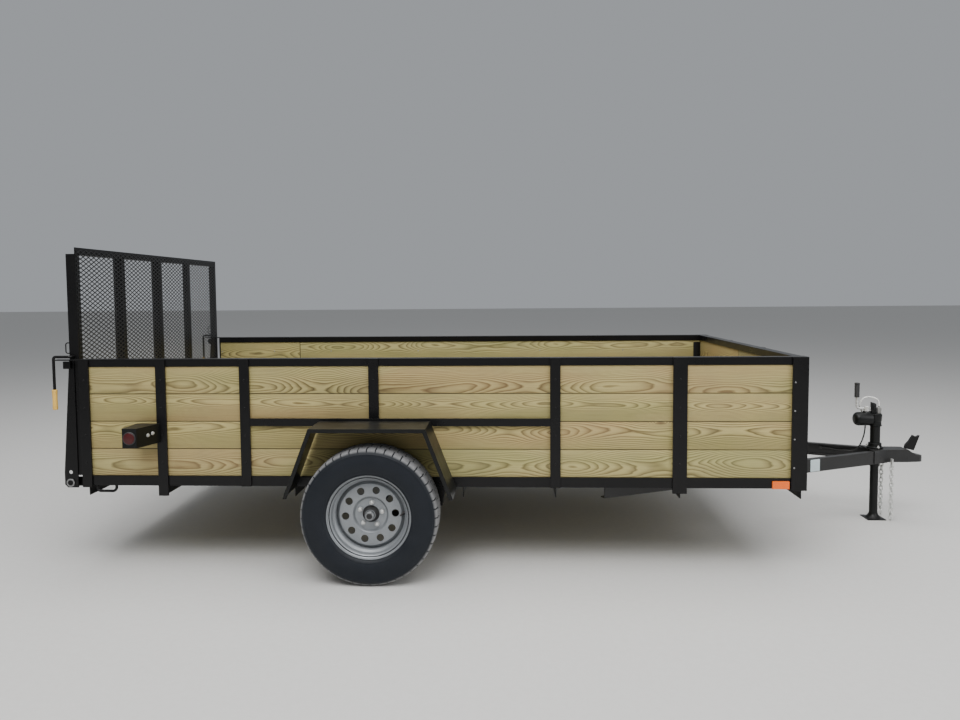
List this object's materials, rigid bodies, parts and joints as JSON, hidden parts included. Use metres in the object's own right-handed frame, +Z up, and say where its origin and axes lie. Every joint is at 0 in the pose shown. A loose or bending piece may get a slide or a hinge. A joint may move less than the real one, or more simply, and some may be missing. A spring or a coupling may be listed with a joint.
{
  "type": "utility trailer",
  "caption": "Single-axle utility trailer with a boarded open box, a mesh ramp gate, steel fenders and an A-frame tongue with a ball coupler and a parking jack.",
  "frame": {"origin": "on the ground, under the middle of the whole trailer from the gate's latch grip to the coupler's nose", "axes": "+X towards the hitch, +Y towards the trailer's left side, +Z up"},
  "size_m": [4.881, 2.43, 1.662],
  "materials": {
    "amber_lens": "gloss",
    "black_paint": "semi-gloss",
    "black_plastic": "matte",
    "chain_plate": "satin",
    "cord_grey": "matte",
    "hub_iron": "satin",
    "jack_metal": "satin",
    "plug_grey": "matte",
    "red_lens": "gloss",
    "treated_wood": "rough sawn",
    "tyre_rubber": "matte",
    "wheel_silver": "satin",
    "yellow_grip": "satin",
    "zinc": "satin"
  },
  "bodies": {
    "chassis": {"side_rails": "black_paint", "end_rails": "black_paint", "cross_members": "black_paint", "side_posts_left": "black_paint", "side_posts_right": "black_paint", "front_posts": "black_paint", "top_rails": "black_paint", "top_rail_front": "black_paint", "mid_rails": "black_paint", "side_boards_left": "treated_wood", "side_boards_right": "treated_wood", "front_boards": "treated_wood", "deck_boards": "treated_wood", "tongue_rails": "black_paint", "coupler": "black_paint", "coupler_latch": "black_paint", "jack_plate": "jack_metal", "jack_tube": "jack_metal", "jack_head": "jack_metal", "jack_crank": "zinc", "jack_grip": "black_plastic", "harness_clip": "black_plastic", "harness_cord": "cord_grey", "harness_plug": "plug_grey", "axle": "black_paint", "springs": "black_paint", "spring_seats": "black_paint", "u_bolts": "zinc", "hangers": "black_paint", "hanger_bolts": "zinc", "fender_left": "black_paint", "fender_right": "black_paint", "light_boxes": "black_paint", "side_lamps": "red_lens", "tail_lamps": "red_lens", "reflectors": "amber_lens", "chain_tabs": "chain_plate", "safety_chain_left": "zinc", "safety_chain_right": "zinc", "tie_loops": "black_paint", "hinge_ears": "black_paint", "latch_straps": "black_paint"},
    "gate": {"gate_uprights": "black_paint", "gate_rails": "black_paint", "gate_mesh": "black_paint", "hinge_plates": "black_paint", "latch_rods": "black_paint", "latch_grips": "yellow_grip", "catch_blocks": "black_paint", "gate_loops": "black_paint"},
    "jack_leg": {"jack_ram": "jack_metal"},
    "left_wheel": {"tyre_left": "tyre_rubber", "wheel_left": "wheel_silver", "hub_left": "hub_iron", "wheel_nuts_left": "zinc"},
    "right_wheel": {"tyre_right": "tyre_rubber", "wheel_right": "wheel_silver", "hub_right": "hub_iron", "wheel_nuts_right": "zinc"}
  },
  "joints": [
    {"name": "wheel_left_spin", "type": "hinge", "parent": "chassis", "child": "left_wheel", "pos_m": [-0.7625, 1.1095, 0.337], "axis": [0, 1, 0], "continuous": true},
    {"name": "wheel_right_spin", "type": "hinge", "parent": "chassis", "child": "right_wheel", "pos_m": [-0.7625, -1.1095, 0.337], "axis": [0, 1, 0], "continuous": true},
    {"name": "gate_hinge", "type": "hinge", "parent": "chassis", "child": "gate", "pos_m": [-2.3725, 0, 0.439], "axis": [0, -1, 0], "range_deg": [0, 111]},
    {"name": "jack_slide", "type": "slide", "parent": "chassis", "child": "jack_leg", "axis": [0, 0, 1], "range_m": [0, 0.24]}
  ]
}
